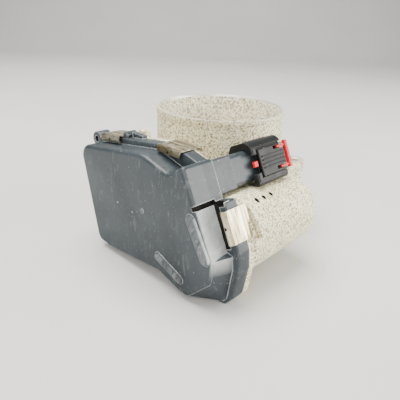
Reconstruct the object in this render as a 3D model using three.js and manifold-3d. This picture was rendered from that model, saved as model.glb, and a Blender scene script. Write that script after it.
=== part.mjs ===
// Electronic throttle body: a cast housing with an air bore, a motor barrel and a gear case, a throttle
// plate on a shaft, a two-stage gear drive, a plastic gear cover held by spring clips, and the harness
// plug seated in the cover's socket. Millimetres, +Z up.
// Working frame: the bore axis is x = y = 0, the engine flange stands on z = 0, the throttle shaft and
// the motor lie along X, and the gear cover is on the -X side. The last lines move the whole group so
// that the centre of its box's bottom face is the origin.
import * as THREE from 'three';
import * as BufferGeometryUtils from 'three/addons/utils/BufferGeometryUtils.js';
import Module from 'manifold-3d';

const wasm = await Module();
wasm.setup();

// ---- driving dimensions ----
const GAP = 0.3; // clearance between pieces that rest on each other
const DEG = Math.PI / 180;

const height = 85; // flange face to inlet rim
const boreR = 40;
const boreSides = 60; // facets round the bore and the spigot
const spigotR = 44.5;
const beadR = 45.1;
const flangeThick = 9;
const bossSpan = 40; // bolt bosses stand at (+-40, +-40)
const bossR = 7.7;
const bossTop = 47.5;
const bossHoleR = 3.3;

const shaftZ = 40.5;
const shaftR = 5;
const plateThick = 2.2;
const plateClearance = 0.25;
const closedTilt = 6; // degrees from square across the bore
const restTilt = 13; // limp-home position

const motorY = -66;
const motorZ = 33;
const barrelRootR = 23.2;
const barrelEndR = 22;
const clipReliefX = -61.5; // the barrel is cut back to here under the motor-side clip
const barrelEndX = 0;
const barrelFillet = 9;
const motorCavityR = 17.2;

const coverFrontX = -92;
const coverWall = 2.5;
const ribR = 2.4; // ribs on the cover's front: half their width
const ribStand = 2; // and how far they stand out
const skirtFrontX = -79;
const chamberStepX = -77; // the chamber widens behind the skirt's front
const skirtWall = 3.2;
const coverBackX = -71;
const caseFrontX = -70.6;
const caseFlangeBackX = -66;
const caseFloorX = -62; // floor of the gear chamber
const caseBackX = -58;

const pinionTeeth = 14;
const wheelTeeth = 50;
const smallTeeth = 16;
const sectorTeeth = 54;
const gearModule = 1;
const wheelFrontX = -86;
const wheelBackX = -79.6;
const sectorFrontX = -78.8;
const sectorBackX = -72.6;

// The connector frame: Y points in from the leaning side wall, Z runs up along it.
const leanAngle = 25.9 * DEG;
const leanFootY = -80;
const leanFootZ = 32.3;
const socketLow = 30;
const socketHigh = 49;
const socketDepth = 14.5;
const socketEndX = -27;
const plugFrontX = -43;
const plugBackX = -14.2;

// ---- outlines: corners are [across, up, radius], listed anticlockwise ----
const coverCorners = [
  [36.2, 66.2, 8],
  [-26, 75.6, 22],
  [-46.8, 70.2, 5],
  [-57.9, 77.6, 2],
  [-80, 32.3, 4],
  [-79.2, 18.7, 4],
  [-63.5, 3, 4],
  [-57, 3.4, 8],
  [-40, 8.3, 14],
  [8, 3.2, 10],
  [21.2, 3.8, 6],
];
// The case and the joint step round the connector block: down its inner side, then out under it.
const caseCorners = [
  [36.2, 66.2, 8],
  [-26, 75.6, 22],
  [-43.7, 70.6, 2],
  [-53.2, 50.4, 2],
  [-67.8, 57.5, 1],
  [-80, 32.3, 4],
  [-79.2, 18.7, 4],
  [-63.5, 3, 4],
  [-57, 3.4, 8],
  [-40, 8.3, 14],
  [8, 3.2, 10],
  [21.2, 3.8, 6],
];
const jointLower = [
  [-75.2, 60.8, 1.5],
  [-87.3, 35.6, 6],
  [-88.3, 26, 6],
  [-85.6, 7.5, 7],
  [-80, 0.5, 4],
  [-59, 0.5, 5],
  [-51, 3.8, 2],
  [-26, 3.8, 3],
  [-16, 0.9, 6],
  [24.5, 0.9, 6],
  [40.5, 70.4, 7],
];
const jointCorners = [...jointLower, [-27, 78.3, 3], [-43.7, 78.3, 1.5], [-43.7, 69.8, 2], [-53.2, 50.4, 1.5]];
const skirtCorners = [
  ...jointLower,
  [-27, 78.3, 3],
  [-46.5, 78.3, 1],
  [-57.3, 75.4, 1.5],
  [-66.4, 57.4, 0.5],
];

// ---- helpers ----
const vec = (x, y, z) => new THREE.Vector3(x, y, z);

// Rounds a corner list into outline points.
function outline(corners) {
  const points = [];
  corners.forEach(([x, y, r], i) => {
    const at = new THREE.Vector2(x, y);
    const before = new THREE.Vector2(...corners.at(i - 1).slice(0, 2)).sub(at).normalize();
    const after = new THREE.Vector2(...corners[(i + 1) % corners.length].slice(0, 2)).sub(at).normalize();
    const half = Math.acos(THREE.MathUtils.clamp(before.dot(after), -1, 1)) / 2;
    const middle = before.clone().add(after).normalize().multiplyScalar(r / Math.sin(half)).add(at);
    const start = before.clone().multiplyScalar(r / Math.tan(half)).add(at).sub(middle);
    const turn = Math.sign(before.cross(after)) * -(Math.PI - 2 * half);
    const steps = Math.max(1, Math.ceil(Math.abs(turn) / (23 * DEG)));
    for (let n = 0; n <= steps; n++) {
      points.push(start.clone().rotateAround(new THREE.Vector2(), (turn * n) / steps).add(middle));
    }
  });
  return points;
}

// Moves every side of a corner list outward by d (inward if d is negative).
function grow(corners, d) {
  const sides = corners.map(([x, y], i) => {
    const [nx, ny] = corners[(i + 1) % corners.length];
    const along = new THREE.Vector2(nx - x, ny - y).normalize();
    return { from: new THREE.Vector2(x + along.y * d, y - along.x * d), along };
  });
  return corners.map(([, , r], i) => {
    const a = sides.at(i - 1);
    const b = sides[i];
    const cross = a.along.cross(b.along);
    const t = b.from.clone().sub(a.from).cross(b.along) / cross;
    return [a.from.x + a.along.x * t, a.from.y + a.along.y * t, Math.max(0.2, r + Math.sign(cross) * d)];
  });
}

// Extrudes (y, z) points along X.
const alongX = new THREE.Matrix4().makeBasis(vec(0, 1, 0), vec(0, 0, 1), vec(1, 0, 0));
function prismX(points, fromX, toX) {
  const geometry = new THREE.ExtrudeGeometry(new THREE.Shape(points), {
    depth: toX - fromX,
    bevelEnabled: false,
  });
  return geometry.applyMatrix4(alongX).translate(fromX, 0, 0);
}

// The same with a rounded front (-X) edge.
function roundedPrismX(corners, fromX, toX, edge) {
  const steps = 3;
  let body = solid(prismX(outline(corners), fromX + edge, toX));
  for (let n = 0; n < steps; n++) {
    const low = (90 * DEG * n) / steps;
    const high = (90 * DEG * (n + 1)) / steps;
    const inset = edge * (1 - Math.sin(high));
    const start = fromX + edge * (1 - Math.cos(low));
    body = body.add(solid(prismX(outline(grow(corners, -inset)), start, fromX + edge + 1)));
  }
  return body;
}

const box = (x0, x1, y0, y1, z0, z1) =>
  new THREE.BoxGeometry(x1 - x0, y1 - y0, z1 - z0).translate((x0 + x1) / 2, (y0 + y1) / 2, (z0 + z1) / 2);

const rodX = (r, x0, x1, y, z, sides = 18) =>
  new THREE.CylinderGeometry(r, r, x1 - x0, sides).rotateZ(-Math.PI / 2).translate((x0 + x1) / 2, y, z);

const rodZ = (r, z0, z1, x, y, sides = 18) =>
  new THREE.CylinderGeometry(r, r, z1 - z0, sides).rotateX(Math.PI / 2).translate(x, y, (z0 + z1) / 2);

// A solid of revolution about Z; profile points are [radius, z].
const turnedZ = (profile, sides) =>
  new THREE.LatheGeometry(profile.map(([r, z]) => new THREE.Vector2(r, z)), sides).rotateX(Math.PI / 2);

// About an axis along X; profile points are [radius, x].
const turnedX = (profile, sides, y, z) =>
  new THREE.LatheGeometry(profile.map(([r, x]) => new THREE.Vector2(r, x)), sides)
    .rotateZ(-Math.PI / 2)
    .translate(0, y, z);

function solid(geometry) {
  const bare = geometry.clone();
  bare.deleteAttribute('normal');
  bare.deleteAttribute('uv');
  const merged = BufferGeometryUtils.mergeVertices(bare, 1e-4);
  return new wasm.Manifold(
    new wasm.Mesh({
      numProp: 3,
      vertProperties: new Float32Array(merged.attributes.position.array),
      triVerts: new Uint32Array(merged.index.array),
    })
  );
}

function surface(manifold) {
  const mesh = manifold.getMesh();
  const geometry = new THREE.BufferGeometry();
  geometry.setAttribute('position', new THREE.BufferAttribute(new Float32Array(mesh.vertProperties), 3));
  geometry.setIndex(new THREE.BufferAttribute(new Uint32Array(mesh.triVerts), 1));
  geometry.computeVertexNormals();
  return geometry;
}

const union = (...geometries) => geometries.map(solid).reduce((all, next) => all.add(next));
const minus = (body, ...geometries) => geometries.map(solid).reduce((all, next) => all.subtract(next), body);

const finishes = {
  castAluminium: { color: 0xd7d2be, roughness: 0.62, metalness: 0.85 },
  coverPlastic: { color: 0x5b6367, roughness: 0.42, metalness: 0 },
  blackPlastic: { color: 0x1d1f21, roughness: 0.5, metalness: 0 },
  redPlastic: { color: 0xd8202c, roughness: 0.4, metalness: 0 },
  gearPlastic: { color: 0xd9d2bd, roughness: 0.5, metalness: 0 },
  steel: { color: 0xa9aaab, roughness: 0.35, metalness: 1 },
  clipSteel: { color: 0xb5a47c, roughness: 0.32, metalness: 1 },
  brass: { color: 0xc39a4a, roughness: 0.35, metalness: 1 },
  copper: { color: 0xb5704a, roughness: 0.4, metalness: 1 },
  rubber: { color: 0x202020, roughness: 0.8, metalness: 0 },
  magnet: { color: 0x3a3a3c, roughness: 0.6, metalness: 0.3 },
  board: { color: 0x2c6b4a, roughness: 0.5, metalness: 0 },
};

function piece(name, geometry, finish, parent) {
  const shape = geometry instanceof THREE.BufferGeometry ? geometry : surface(geometry);
  const mesh = new THREE.Mesh(shape, new THREE.MeshStandardMaterial({ ...finishes[finish] }));
  mesh.name = name;
  parent.add(mesh);
  return mesh;
}

const assembly = new THREE.Group();

// ---- connector frame ----
const connectorFrame = new THREE.Matrix4()
  .makeRotationX(-leanAngle)
  .setPosition(0, leanFootY, leanFootZ);
// A block in the connector frame: from x0 to x1, deep in from the wall, low to high up the wall.
const leaning = (geometry) => geometry.applyMatrix4(connectorFrame);

// A rounded rectangle in the connector frame, extruded along X.
function leaningBar(x0, x1, deep0, deep1, low, high, r) {
  const corners = [
    [deep1, high, r],
    [deep0, high, r],
    [deep0, low, r],
    [deep1, low, r],
  ];
  return prismX(outline(corners), x0, x1);
}

const pinRows = [35.2, 39.5, 43.8];
const pinColumns = [4.8, 9.6];

// ---- intermediate gear axis: one stage's centre distance from each of the other two axes ----
const pitchR = (teeth) => (teeth * gearModule) / 2;
const motorToPin = pitchR(pinionTeeth) + pitchR(wheelTeeth);
const shaftToPin = pitchR(smallTeeth) + pitchR(sectorTeeth);
const axesApart = Math.hypot(motorY, shaftZ - motorZ);
const alongAxes = (motorToPin ** 2 - shaftToPin ** 2 + axesApart ** 2) / (2 * axesApart);
const offAxes = Math.sqrt(motorToPin ** 2 - alongAxes ** 2);
const towards = new THREE.Vector2(-motorY, shaftZ - motorZ).normalize();
const pinY = motorY + towards.x * alongAxes - towards.y * offAxes;
const pinZ = motorZ + towards.y * alongAxes + towards.x * offAxes;

// ---- housing ----
function housing() {
  const cylinderWall = rodZ(spigotR, 0, height - 3.4, 0, 0, boreSides);
  const bead = turnedZ(
    [
      [0, height - 6],
      [spigotR, height - 6],
      [spigotR, height - 3.6],
      [beadR, height - 3],
      [beadR, height - 0.5],
      [beadR - 0.5, height],
      [0, height],
    ],
    boreSides
  );
  let body = union(cylinderWall, bead);
  const square = bossSpan + bossR;
  const flangeCorners = [
    [square, square, bossR],
    [-square, square, bossR],
    [-square, -square, bossR],
    [square, -square, bossR],
  ];
  const flange = new THREE.ExtrudeGeometry(new THREE.Shape(outline(flangeCorners)), {
    depth: flangeThick,
    bevelEnabled: false,
  });
  body = body.add(solid(flange));
  for (const turn of [45, 135, 225, 315]) {
    const x = bossSpan * Math.SQRT2 * Math.cos(turn * DEG);
    const y = bossSpan * Math.SQRT2 * Math.sin(turn * DEG);
    body = body.add(solid(rodZ(bossR, 0, bossTop, x, y)));
    body = body.add(solid(box(41, bossSpan * Math.SQRT2, -4, 4, 0, bossTop - 4).rotateZ(turn * DEG)));
  }
  // motor barrel with its closed, rounded end
  const barrel = [
    [0, caseFlangeBackX],
    [barrelRootR, caseFlangeBackX],
    [barrelEndR, barrelEndX - barrelFillet],
  ];
  for (let a = 22.5; a <= 90; a += 22.5) {
    barrel.push([
      barrelEndR - barrelFillet * (1 - Math.cos(a * DEG)),
      barrelEndX - barrelFillet * (1 - Math.sin(a * DEG)),
    ]);
  }
  barrel.push([0, barrelEndX]);
  body = body.add(solid(turnedX(barrel, 40, motorY, motorZ)));
  // gear case: rim, flange and the webs that carry it
  body = body.add(solid(prismX(outline(caseCorners), caseFrontX, caseBackX)));
  body = body.add(solid(prismX(outline(jointCorners), caseFrontX, caseFlangeBackX)));
  body = body.add(solid(rodX(14, caseBackX - 1, -41, 0, shaftZ)));
  body = body.add(solid(box(caseBackX - 1, -38, -3, 3, 8, 68)));
  body = body.add(solid(box(caseBackX - 1, -30, -50, 24, shaftZ - 3, shaftZ + 3)));
  body = body.add(solid(rodX(7, caseBackX - 1, -46, pinY, pinZ)));
  // web from the barrel to the bore wall, and the gusset from the barrel's end to the nearest boss
  body = body.add(solid(box(caseBackX - 1, -6, -62, -36, 14, 46)));
  const gussetSide = new THREE.Shape([
    new THREE.Vector2(-10, 12),
    new THREE.Vector2(bossSpan, 4),
    new THREE.Vector2(bossSpan, bossTop - 1.5),
    new THREE.Vector2(26, bossTop - 1.5),
    new THREE.Vector2(-10, 36),
  ]);
  const gusset = new THREE.ExtrudeGeometry(gussetSide, { depth: 12, bevelEnabled: false });
  body = body.add(solid(gusset.rotateX(Math.PI / 2).translate(0, -35.5, 0)));
  // far-side bearing boss
  body = body.add(solid(rodX(11, 39, 51, 0, shaftZ)));
  // locating tab for the cover's arm
  body = body.add(solid(box(caseFrontX + 0.2, caseFlangeBackX, -3.5, 3.5, 72, 79.4)));

  const bore = turnedZ(
    [
      [0, -1],
      [boreR, -1],
      [boreR, height - 12],
      [boreR + 2.6, height - 1],
      [boreR + 3.6, height + 0.5],
      [0, height + 0.5],
    ],
    boreSides
  );
  const holes = [bore];
  for (const x of [-bossSpan, bossSpan]) {
    for (const y of [-bossSpan, bossSpan]) {
      holes.push(rodZ(bossHoleR, -1, bossTop + 1, x, y, 14));
    }
  }
  holes.push(prismX(outline(grow(caseCorners, -4)), caseFrontX - 1, caseFloorX));
  holes.push(rodX(motorCavityR, caseFrontX - 1, -4, motorY, motorZ, 32));
  holes.push(leaning(box(caseFrontX - 1, caseBackX + 1, -12, 15.9, 29.6, 60)));
  holes.push(leaning(box(caseFlangeBackX, clipReliefX, -14, -5.7, 3, 26)));
  holes.push(rodX(shaftR + 0.15, caseFloorX - 1, 52, 0, shaftZ, 24));
  holes.push(rodX(9.2, caseFloorX - 1, -53, 0, shaftZ));
  holes.push(rodX(7.7, 43, 52, 0, shaftZ));
  holes.push(rodX(2.8, caseFloorX - 1, -49, pinY, pinZ));
  body = minus(body, ...holes);
  // seal grooves in the gear case rim and under the flange
  const rimGroove = minus(
    solid(prismX(outline(grow(jointCorners, -0.8)), caseFrontX - 1, caseFrontX + 1.5)),
    prismX(outline(grow(jointCorners, -2.4)), caseFrontX - 2, caseFrontX + 2)
  );
  const flangeGroove = minus(
    solid(rodZ(45.2, -1, 2.2, 0, 0, 40)),
    rodZ(42.2, -2, 3, 0, 0, 40)
  );
  return body.subtract(rimGroove).subtract(flangeGroove);
}
piece('throttle_housing', housing(), 'castAluminium', assembly);

// ---- seals ----
const flangeSeal = minus(solid(rodZ(44.9, 0.1, 1.9, 0, 0, 40)), rodZ(42.5, -1, 3, 0, 0, 40));
piece('flange_seal', flangeSeal, 'rubber', assembly);
const coverSeal = minus(
  solid(prismX(outline(grow(jointCorners, -1.05)), coverBackX + 0.15, caseFrontX + 1.2)),
  prismX(outline(grow(jointCorners, -2.15)), coverBackX - 1, caseFrontX + 2)
);
piece('cover_seal', coverSeal, 'rubber', assembly);

// ---- throttle shaft, plate and screws ----
const throttle = new THREE.Group();
throttle.position.set(0, 0, shaftZ);
throttle.rotation.x = restTilt * DEG;
assembly.add(throttle);

const screwX = 20;
const ring = (outer, inner, x0, x1, sides = 18) =>
  minus(solid(rodX(outer, x0, x1, 0, 0, sides)), rodX(inner, x0 - 1, x1 + 1, 0, 0, sides));

const shaft = minus(
  solid(rodX(shaftR, -84, 49, 0, 0, 24)),
  box(-boreR, boreR, -shaftR - 1, shaftR + 1, -plateThick / 2 - 0.15, plateThick / 2 + 0.15),
  ...[-screwX, screwX].flatMap((x) => [rodZ(1.9, -6, 6, x, 0, 16), rodZ(4, 3.4, 6, x, 0, 20)])
);
piece('throttle_shaft', shaft, 'steel', throttle);

// The plate's rim is ground parallel to the bore at the closed tilt.
const rim = rodZ(boreR - plateClearance, -12, 12, 0, 0, boreSides).rotateX(-closedTilt * DEG);
const plate = minus(
  solid(box(-boreR, boreR, -boreR - 2, boreR + 2, -plateThick / 2, plateThick / 2)).intersect(solid(rim)),
  ...[-screwX, screwX].map((x) => rodZ(1.9, -6, 6, x, 0, 16))
);
piece('throttle_plate', plate, 'brass', throttle);

const screwProfile = [[0, -5.4], [1.6, -5.4], [1.6, 3.7], [3.5, 3.7], [3.5, 4.9], [2.6, 5.5], [0, 5.5]];
[-screwX, screwX].forEach((x, i) => {
  piece(`plate_screw_${i + 1}`, turnedZ(screwProfile, 16), 'steel', throttle).position.x = x;
});

// ---- bearings, shaft seals, end cap ----
const onShaft = new THREE.Group();
onShaft.position.set(0, 0, shaftZ);
assembly.add(onShaft);
piece('gear_side_bearing', ring(9, shaftR + 0.15, -61.6, -55), 'steel', onShaft);
piece('gear_side_shaft_seal', ring(8.9, shaftR + 0.15, -54.7, -53.2), 'rubber', onShaft);
piece('far_side_bearing', ring(7.5, shaftR + 0.15, 44.6, 49), 'steel', onShaft);
piece('far_side_shaft_seal', ring(7.4, shaftR + 0.15, 43.2, 44.3), 'rubber', onShaft);
piece(
  'shaft_end_cap',
  turnedX([[0, 49.5], [7.4, 49.5], [7.4, 51.4], [6.4, 51.8], [5.6, 51], [0, 51]], 24, 0, 0),
  'steel',
  onShaft
);

// ---- gears ----
// Tooth outline from angle to angle (degrees), with a tooth centred on the phase angle.
function toothArc(teeth, phase, from = phase - 180 / teeth, to = from + 359.9) {
  const pitch = 360 / teeth;
  const r = pitchR(teeth);
  const points = [];
  for (let i = Math.ceil((from - phase) / pitch); phase + i * pitch <= to; i++) {
    for (const [share, radius] of [[-0.3, r - 1.2], [-0.13, r + 0.9], [0.13, r + 0.9], [0.3, r - 1.2]]) {
      const a = (phase + (i + share) * pitch) * DEG;
      points.push(new THREE.Vector2(radius * Math.cos(a), radius * Math.sin(a)));
    }
  }
  return points;
}
const bearingTo = (y0, z0, y1, z1) => Math.atan2(z1 - z0, y1 - y0) / DEG;
const pinionToWheel = bearingTo(motorY, motorZ, pinY, pinZ);
const smallToSector = bearingTo(pinY, pinZ, 0, shaftZ);
const wheelGap = pinionToWheel + 180 + 180 / wheelTeeth;
const sectorGap = smallToSector + 180 + 180 / sectorTeeth;

// sector gear: teeth over the throttle's travel, a narrow hub elsewhere, and the magnet's cup
const sectorFrom = 98;
const sectorTo = 192;
const sectorPoints = toothArc(sectorTeeth, sectorGap, sectorFrom, sectorTo);
for (let a = sectorTo + 40; a <= sectorFrom + 320; a += 20) {
  sectorPoints.push(new THREE.Vector2(10.5 * Math.cos(a * DEG), 10.5 * Math.sin(a * DEG)));
}
const throttleGear = minus(
  union(
    prismX(sectorPoints, sectorFrontX, sectorBackX),
    rodX(8.2, -87, sectorFrontX + 1, 0, 0),
    rodX(8.2, sectorBackX - 1, caseFloorX - 0.6, 0, 0)
  ),
  rodX(shaftR + 0.15, -84.4, caseFloorX + 1, 0, 0, 24),
  rodX(6.8, -88, -84.2, 0, 0),
  // lightening slots through the web
  ...[120, 145, 170].map((a) => rodX(3.2, -80, -70, 18 * Math.cos(a * DEG), 18 * Math.sin(a * DEG), 12))
);
const gearGroup = new THREE.Group();
gearGroup.position.set(0, 0, shaftZ);
assembly.add(gearGroup);
piece('throttle_gear', throttleGear, 'gearPlastic', gearGroup);
piece('sensor_magnet', ring(6.5, 2.4, -86.8, -84.5), 'magnet', gearGroup);

// return spring: a torsion coil round a sleeve, its two tails standing off the coil
const springR = 12.4;
const springTurns = 3.5;
class SpringLine extends THREE.Curve {
  getPoint(t, target = vec()) {
    const a = t * springTurns * 2 * Math.PI;
    return target.set(-70.9 + t * 7.1, springR * Math.cos(a), springR * Math.sin(a));
  }
}
const wire = new THREE.Shape();
wire.absarc(0, 0, 0.85, 0, 2 * Math.PI);
const springCoil = new THREE.ExtrudeGeometry(wire, {
  steps: 44,
  curveSegments: 3,
  bevelEnabled: false,
  extrudePath: new SpringLine(),
});
piece('return_spring', springCoil, 'steel', gearGroup);
piece('spring_sleeve', ring(11, 8.6, -72, -62.4), 'blackPlastic', gearGroup);

// intermediate gear: large wheel and small pinion in one moulding, on a fixed pin
const pinGroup = new THREE.Group();
pinGroup.position.set(0, pinY, pinZ);
assembly.add(pinGroup);
const intermediate = minus(
  union(
    prismX(toothArc(wheelTeeth, wheelGap), wheelFrontX, wheelBackX),
    prismX(toothArc(smallTeeth, smallToSector), wheelBackX - 1, sectorBackX)
  ),
  rodX(3.2, -90, -70, 0, 0),
  ...[0, 60, 120, 180, 240, 300].map((a) =>
    rodX(4, -87, -79, 16 * Math.cos(a * DEG), 16 * Math.sin(a * DEG), 8)
  )
);
piece('intermediate_gear', intermediate, 'gearPlastic', pinGroup);
piece('intermediate_gear_pin', rodX(2.6, -88.6, -49.6, 0, 0), 'steel', pinGroup);

// ---- motor ----
const motor = new THREE.Group();
motor.position.set(0, motorY, motorZ);
assembly.add(motor);
const motorPinion = minus(
  solid(prismX(toothArc(pinionTeeth, pinionToWheel), wheelFrontX, wheelBackX)),
  rodX(2.1, -90, -70, 0, 0, 16)
);
piece('motor_pinion', motorPinion, 'brass', motor);
piece(
  'motor_shaft',
  turnedX([[0, -87], [2, -87], [2, -52], [6.5, -52], [6.5, -46], [2, -46], [2, -6.6], [0, -6.6]], 16, 0, 0),
  'steel',
  motor
);
const armatureSlots = [0, 60, 120, 180, 240, 300].map((a) => {
  const slot = box(-45, -11, -0.9, 0.9, 7, 14);
  return slot.rotateX(a * DEG);
});
const armature = minus(solid(rodX(12.4, -44, -12, 0, 0, 24)), rodX(2.2, -50, -10, 0, 0, 16), ...armatureSlots);
piece('motor_armature', armature, 'copper', motor);
const magnetArc = (from, to) => {
  const shape = new THREE.Shape();
  shape.absarc(0, 0, 15.7, from * DEG, to * DEG, false);
  shape.absarc(0, 0, 13.2, to * DEG, from * DEG, true);
  const arc = new THREE.ExtrudeGeometry(shape, { depth: 34, bevelEnabled: false, curveSegments: 5 });
  return arc.applyMatrix4(alongX).translate(-45, 0, 0);
};
piece('motor_magnet_top', magnetArc(20, 160), 'magnet', motor);
piece('motor_magnet_bottom', magnetArc(200, 340), 'magnet', motor);
const can = minus(
  solid(rodX(16.9, -61.4, -5.4, 0, 0, 28)),
  rodX(16, -62, -7, 0, 0, 28),
  rodX(2.4, -10, -5, 0, 0, 16)
);
piece('motor_can', can, 'steel', motor);

const earAngles = [20, 295];
const terminalAngles = [150, 330];
const terminalR = 12;
const earR = 20.1;
const earY = (a) => earR * Math.cos(a * DEG);
const earZ = (a) => earR * Math.sin(a * DEG);
const endPlate = minus(
  union(
    rodX(motorCavityR - 0.3, -63.9, -62.3, 0, 0, 28),
    ...earAngles.map((a) => rodX(4.1, -63.9, -62.3, earY(a), earZ(a), 16))
  ),
  rodX(4.2, -65, -61, 0, 0, 20),
  ...terminalAngles.map((a) =>
    rodX(1.8, -65, -61, terminalR * Math.cos(a * DEG), terminalR * Math.sin(a * DEG), 12)
  ),
  ...earAngles.map((a) => rodX(1.5, -65, -61, earY(a), earZ(a), 12))
);
piece('motor_end_plate', endPlate, 'steel', motor);
const motorBush = minus(solid(rodX(3.9, -64.6, -58, 0, 0, 20)), rodX(2.1, -66, -57, 0, 0, 16));
piece('motor_bush', motorBush, 'brass', motor);
earAngles.forEach((a, i) => {
  piece(`motor_screw_${i + 1}`, rodX(2.2, -65.8, -64.2, earY(a), earZ(a), 6), 'steel', motor);
});
terminalAngles.forEach((a, i) => {
  const y = terminalR * Math.cos(a * DEG);
  const z = terminalR * Math.sin(a * DEG);
  piece(`motor_terminal_${i + 1}`, box(-74, -58, y - 0.4, y + 0.4, z - 1.3, z + 1.3), 'brass', motor);
});
// wave washer that presses the can against the end plate
const washer = minus(solid(rodX(14, -5.1, -4.4, 0, 0, 24)), rodX(10, -6, -3, 0, 0, 24));
piece('motor_wave_washer', washer, 'steel', motor);

// ---- gear cover with the connector socket ----
function cover() {
  let body = roundedPrismX(coverCorners, coverFrontX, coverBackX, 2.2);
  body = body.add(solid(prismX(outline(skirtCorners), skirtFrontX, coverBackX)));
  // the wall below the connector flares out to the skirt, which leaves a slanted facet under its corner
  const flareFront = [[-79.8, 32.8], [-79.2, 18.7], [-63.5, 3], [-60, 25]].map(([y, z]) => [coverFrontX + 2.2, y, z]);
  const flareBack = [[-79.8, 34], [-83.6, 33], [-84.2, 25], [-81.6, 5], [-79, 2.2], [-60, 2.2]].map(([y, z]) => [
    skirtFrontX + 0.1,
    y,
    z,
  ]);
  body = body.add(wasm.Manifold.hull([...flareFront, ...flareBack]));
  // locating lug and post at the far top corner, and the arm over the housing's tab
  body = body.add(solid(rodX(4.6, skirtFrontX - 1, coverBackX, 34.6, 67.8)));
  body = body.add(solid(rodX(2.4, skirtFrontX + 0.4, coverBackX, 5.6, 76)));
  body = body.add(solid(box(-74.5, coverBackX, -6, 7, 74, 77.8)));
  // stiffening ribs and the gate mark on the front
  for (const [y0, z0, y1, z1] of [[-39.5, 19.8, -59, 11.4], [-64.2, 52.2, -76, 31.6]]) {
    const length = Math.hypot(y1 - y0, z1 - z0);
    const rib = new THREE.CapsuleGeometry(ribR, length, 4, 10);
    rib.rotateX(Math.atan2(z1 - z0, y1 - y0));
    rib.scale(ribStand / ribR, 1, 1).translate(coverFrontX, (y0 + y1) / 2, (z0 + z1) / 2);
    body = body.add(solid(rib));
  }
  body = body.add(solid(rodX(1.5, coverFrontX - 0.5, coverFrontX + 1, -26.3, 42, 12)));
  // connector block behind the cover, then the socket that the plug goes over
  const block = leaning(leaningBar(coverBackX - 4, -57.5, 0, 15.5, socketLow, 49.2, 1));
  const socket = leaning(leaningBar(-58.5, socketEndX, 0, socketDepth, socketLow, socketHigh, 3));
  body = body.add(solid(block)).add(solid(socket));
  // gear chamber, pocket behind the pins, socket hollow
  body = minus(
    body,
    prismX(outline(grow(coverCorners, -coverWall)), coverFrontX + coverWall, chamberStepX),
    prismX(outline(grow(jointCorners, -skirtWall)), chamberStepX - 0.1, coverBackX + 1),
    leaning(leaningBar(-52, socketEndX + 1, 1.8, socketDepth - 1.8, socketLow + 1.8, socketHigh - 1.8, 1.5)),
    leaning(leaningBar(coverFrontX - 1, -77, -1, 1.4, 27.6, 29.4, 0.3)),
    rodX(2.1, skirtFrontX - 2, coverBackX - 2, 34.6, 67.8, 16),
    rodX(barrelRootR + 0.5, coverBackX + 0.5, 0, motorY, motorZ, 48)
  );
  for (const low of pinRows) {
    for (const deep of pinColumns) {
      body = minus(body, leaning(box(-78, -51, deep - 0.7, deep + 0.7, low - 0.7, low + 0.7)));
    }
  }
  return body;
}
piece('gear_cover', cover(), 'coverPlastic', assembly);

const connector = new THREE.Group();
connector.applyMatrix4(connectorFrame);
assembly.add(connector);
const pinPlaces = pinRows.flatMap((low) => pinColumns.map((deep) => [deep, low]));
pinPlaces.forEach(([deep, low], i) => {
  const pin = box(-81, -33, deep - 0.35, deep + 0.35, low - 0.35, low + 0.35);
  piece(`connector_pin_${i + 1}`, pin, 'brass', connector);
});
const sensorBoard = minus(
  solid(box(-89.2, -87.8, -16, 22, 24, 58)),
  ...[[-13, 27], [19, 27], [-13, 55], [19, 55]].map(([y, z]) => rodX(1.2, -90, -87, y, z, 12))
);
piece('sensor_board', sensorBoard, 'board', assembly);

// ---- spring clips round the joint ----
const clipLength = 17.6;
const clipSection = [
  [-79.4, -2.2],
  [-80.2, -2.9],
  [-81.7, -2.5],
  [-82.2, -1.2],
  [-81.5, 0.9],
  [-80.2, 1.5],
  [-66, 1.5],
  [-64.9, 0.9],
  [-64.7, -1.1],
  [-64, -1.5],
  [-64.3, -1.9],
  [-65.7, -1.6],
  [-65.7, 0.4],
  [-66.2, 0.6],
  [-79.8, 0.6],
  [-80.6, 0.2],
  [-81.2, -1.2],
  [-80.9, -1.7],
  [-80.4, -1.9],
];
// Where each clip sits: centre on the skirt's edge (y, z) and the outward direction (degrees from +Y).
const clipSeats = [
  ['cover_clip_top', -36.4, 78.3, 90],
  ['cover_clip_top_far', 17.2, 73.15, 83.3],
  ['cover_clip_motor_side', -80.94, 48.84, 154.3],
  ['cover_clip_bottom', -36, 3.8, 270],
  ['cover_clip_far_side', 33.5, 40, -12.95],
];
for (const [name, y, z, outward] of clipSeats) {
  const section = new THREE.Shape(clipSection.map(([x, out]) => new THREE.Vector2(x, out)));
  const strip = new THREE.ExtrudeGeometry(section, { depth: clipLength, bevelEnabled: false });
  strip.translate(0, 0, -clipLength / 2);
  const clip = minus(solid(strip), rodX(0.7, -84, -79, -1.2, 0, 10));
  const mesh = piece(name, clip, 'clipSteel', assembly);
  mesh.position.set(0, y, z);
  mesh.rotation.x = outward * DEG;
}

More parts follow.
